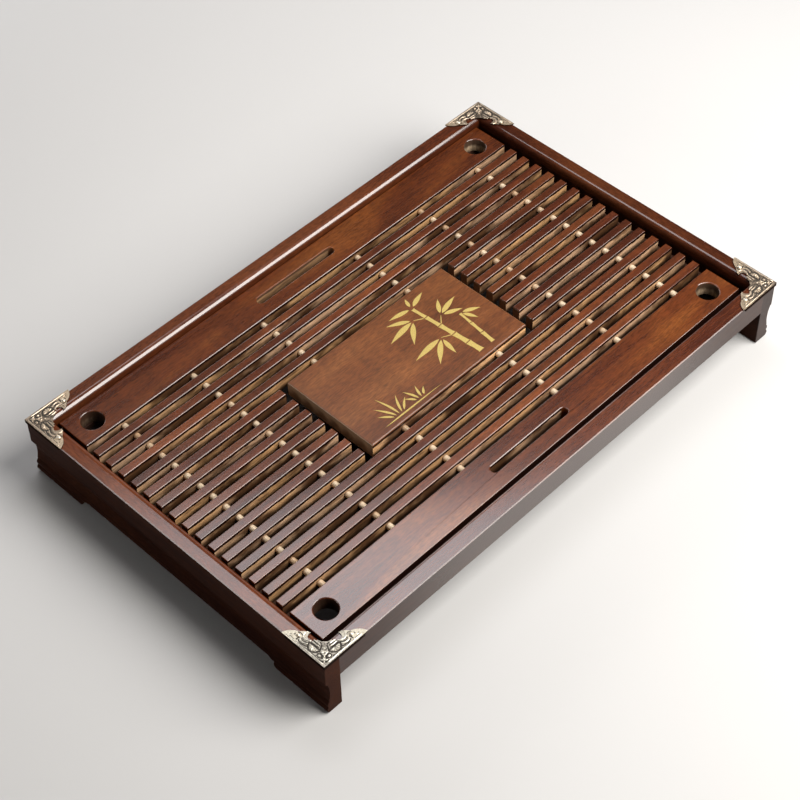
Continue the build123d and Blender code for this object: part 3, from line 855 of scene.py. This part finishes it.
# A cane: its start, its end, its number of joints and its width.
CANES = [((36, -34), (31, 26), 5, 4.4), ((47, -34), (50.5, 0), 3, 3.0)]
# Outline of one joint of a cane: how far along it, and how wide there.
CANE_PROFILE = ((0.03, 1.2), (0.10, 1.0), (0.50, 0.86), (0.90, 1.0), (0.97, 1.2))
# A spray: where its twig leaves the cane, where its leaves start, and each leaf's angle, length
# and width.
SPRAYS = [
    ((30.0, 14.4), (23.8, 18.0), ((148, 17, 3.4), (185, 24, 4.2), (222, 20, 3.8))),
    ((32.0, -9.6), (25.6, -6.4), ((181, 25, 4.2), (218, 22, 4.0), (255, 15, 3.4))),
    ((35.0, 2.6), (40.2, 8.0), ((56, 13, 3.2), (20, 18, 3.8), (-18, 14, 3.4))),
    (None, (31.0, 26.4), ((166, 17, 3.4), (76, 8, 2.6), (24, 15, 3.4))),
    (None, (50.6, 0.4), ((-22, 13, 3.2), (-60, 11, 3.0))),
]
LEAF_GAP = 2.3
LEAF_BEND = 0.08
# A tuft of grass: its middle, and each blade's angle and length.
TUFTS = [
    ((-42.0, -33.0), ((128, 11), (109, 16), (90, 20), (71, 15), (52, 11))),
    ((-22.5, -33.0), ((122, 8), (101, 12), (80, 10), (58, 7))),
]
BLADE_SPACING = 2.3
BLADE_WIDTH = 1.7
BLADE_BEND = 0.16
# The line of ground under the grass.
GROUND_START, GROUND_LENGTH, GROUND_WIDTH = (-57, -35.0), 52, 1.1


def add_outline(bm, points):
    """A thin raised patch with the given outline, each a hair higher than the one before."""
    cx = (PLAQUE_LOW.x + PLAQUE_HIGH.x) / 2
    cy = (PLAQUE_LOW.y + PLAQUE_HIGH.y) / 2
    top = PLAQUE_HIGH.z + (PRINT_RISE + PRINT_STEP * len(bm.verts)) * MM
    upper = [bm.verts.new((cx + x * MM, cy + y * MM, top)) for x, y in points]
    lower = [bm.verts.new((v.co.x, v.co.y, PLAQUE_HIGH.z)) for v in upper]
    bm.faces.new(upper)
    bm.faces.new(lower[::-1])
    skin(bm, [lower, upper])


def leaf(bm, root, angle, length, width, bend=0.0, gap=0.0):
    """A leaf pointed at both ends, which starts a gap away from its root and bends to one side."""
    a = math.radians(angle)
    along = Vector((math.cos(a), math.sin(a)))
    side = Vector((-along.y, along.x))
    start = Vector(root) + along * gap
    right, left = [], []
    for i in range(LEAF_STEPS + 1):
        t = i / LEAF_STEPS
        half = width / 2 * math.sin(math.pi * t**0.75) ** 1.1 if 0 < i < LEAF_STEPS else 0.0
        middle = start + along * (length * t) + side * (bend * length * t * t)
        right.append(middle - side * half)
        left.append(middle + side * half)
    add_outline(bm, right + left[-2:0:-1])


def cane(bm, start, end, joints, width):
    """A cane in joints, each a little waisted, with a gap at every node, thinner at its far end."""
    a, b = Vector(start), Vector(end)
    step = (b - a) / joints
    side = Vector((-step.y, step.x)).normalized()
    for i in range(joints):
        w = width * (1 - 0.5 * i / joints) / 2
        stations = [(a + step * (i + t), side * w * wide) for t, wide in CANE_PROFILE]
        near = [middle - half for middle, half in stations]
        far = [middle + half for middle, half in reversed(stations)]
        add_outline(bm, near + far)


def twig(bm, start, end):
    """A thin stroke from a cane's node to the root of a spray, thinner at its far end."""
    a, b = Vector(start), Vector(end)
    side = Vector((a.y - b.y, b.x - a.x)).normalized() * TWIG_WIDTH / 2
    add_outline(bm, (a - side, b - side * 0.5, b + side * 0.5, a + side))


def plaque_print():
    bm = bmesh.new()
    for start, end, joints, width in CANES:
        cane(bm, start, end, joints, width)
    for node, root, leaves in SPRAYS:
        if node:
            twig(bm, node, root)
        for angle, length, width in leaves:
            bend = -LEAF_BEND if math.cos(math.radians(angle)) > 0 else LEAF_BEND
            leaf(bm, root, angle, length, width, bend, LEAF_GAP)
    for (x, y), blades in TUFTS:
        for k, (angle, length) in enumerate(blades):
            root = (x + BLADE_SPACING * (k - (len(blades) - 1) / 2), y)
            bend = -BLADE_BEND if angle < 90 else BLADE_BEND
            leaf(bm, root, angle, length, BLADE_WIDTH, bend)
    leaf(bm, GROUND_START, 0, GROUND_LENGTH, GROUND_WIDTH)
    return mesh_from(bm, "plaque_print")


gold = materials["gold"]
new_piece("plaque_print", plaque_print(), gold, "grille", smooth=False)

# ------------------------------------------------------------------ stage, light and camera
# The floor is flat up to FLOOR_RADIUS and then sweeps up into a low backdrop all round.
INNER_RADIUS = 0.8
FLOOR_RADIUS = 5.0
SWEEP_RADIUS = 1.6
FLOOR_SIDES = 64
SWEEP_STEPS = 8
# Between these distances from the middle it changes from lit floor to even backdrop.
BACKDROP_FROM = (0.42, 0.95)
FLOOR_TONES = (rgb(0.62, 0.616, 0.61), rgb(0.64, 0.636, 0.63))
BACKDROP_TONE = rgb(0.80, 0.795, 0.79)
BLACK = rgb(0.0, 0.0, 0.0)


def floor_material():
    """Pale and plain: lit around the object, one even tone for whatever sees it further away."""
    tree = Tree("stage_floor")
    cloud = tree.noise(3, detail=2)
    distance = tree.add("ShaderNodeVectorMath", {0: tree.coords}, operation="LENGTH")
    path = tree.add("ShaderNodeLightPath").outputs
    seen = tree.math("MAXIMUM", path["Is Camera Ray"], path["Is Glossy Ray"])
    seen = tree.math("MAXIMUM", seen, path["Is Transmission Ray"])
    backdrop = tree.times(tree.ramp(distance.outputs["Value"], *BACKDROP_FROM), seen)
    lit = tree.mix(cloud, *FLOOR_TONES)
    tree.set(Base_Color=tree.mix(backdrop, lit, BLACK), Roughness=0.9, Specular_IOR_Level=0.2)
    tree.set(Emission_Color=BACKDROP_TONE, Emission_Strength=backdrop)
    return tree.material


def floor_mesh():
    bm = bmesh.new()
    outline = [(INNER_RADIUS, 0.0), (FLOOR_RADIUS, 0.0)]
    for i in range(1, SWEEP_STEPS + 1):
        turn = math.pi / 2 * i / SWEEP_STEPS
        radius = FLOOR_RADIUS + SWEEP_RADIUS * math.sin(turn)
        outline.append((radius, SWEEP_RADIUS * (1 - math.cos(turn))))
    angles = [2 * math.pi * k / FLOOR_SIDES for k in range(FLOOR_SIDES)]
    rings = []
    for radius, height in outline:
        ring = [(radius * math.cos(a), radius * math.sin(a), height) for a in angles]
        rings.append([bm.verts.new(point) for point in ring])
    bm.faces.new(rings[0])
    skin(bm, rings[::-1])
    mesh = bpy.data.meshes.new("floor")
    bm.to_mesh(mesh)
    bm.free()
    return mesh


floor = add_object("floor", floor_mesh())
floor.data.materials.append(floor_material())
set_smooth(floor.data, True)

# Rectangular area lights: name, place, tilt about X and turn about Z in degrees, size, radiance
# and colour.
SOFTBOXES = [
    ("top_softbox", (0.438, 0.438, 1.30), (0, 45), (0.50, 0.92), 3.6, (0.96, 0.95, 0.985)),
    ("key_softbox", (0.45, -0.66, 0.86), (45, 0), (1.00, 1.05), 7.8, (1.0, 0.97, 0.93)),
    ("edge_softbox", (-1.25, 0.62, 0.53), (70, -123), (0.70, 0.15), 6.5, (1.0, 0.98, 0.96)),
    ("back_softbox", (0.55, 1.90, 0.85), (-68, -16), (1.60, 0.70), 3.0, (1.0, 0.98, 0.96)),
]
WORLD_COLOUR = rgb(1.0, 0.98, 0.96)
WORLD_STRENGTH = 0.05

for name, place, (tilt, turn), (width, height), radiance, colour in SOFTBOXES:
    light = bpy.data.lights.new(name, "AREA")
    light.shape = "RECTANGLE"
    light.size, light.size_y = width, height
    light.energy = math.pi * radiance * width * height
    light.color = colour
    lamp = add_object(name, light)
    lamp.location = place
    lamp.rotation_euler = (math.radians(tilt), 0.0, math.radians(turn))

world = bpy.data.worlds.new("studio")
world.use_nodes = True
background = world.node_tree.nodes["Background"].inputs
background["Color"].default_value = WORLD_COLOUR
background["Strength"].default_value = WORLD_STRENGTH
bpy.context.scene.world = world

# The photograph's camera, solved from the corners of the frame.
SENSOR_MM, LENS_MM = 36.0, 89.35
CAMERA_PLACE = (-0.63701, -0.62858, 1.01808)
CAMERA_DEGREES = (41.336, 0.8455, -45.833)
CLIP_START, CLIP_END = 0.05, 30.0

camera_data = bpy.data.cameras.new("camera")
camera_data.sensor_width = SENSOR_MM
camera_data.lens = LENS_MM
camera_data.clip_start = CLIP_START
camera_data.clip_end = CLIP_END
camera = add_object("camera", camera_data)
camera.location = CAMERA_PLACE
camera.rotation_euler = tuple(math.radians(a) for a in CAMERA_DEGREES)
bpy.context.scene.camera = camera
bpy.context.scene.view_settings.view_transform = "Standard"
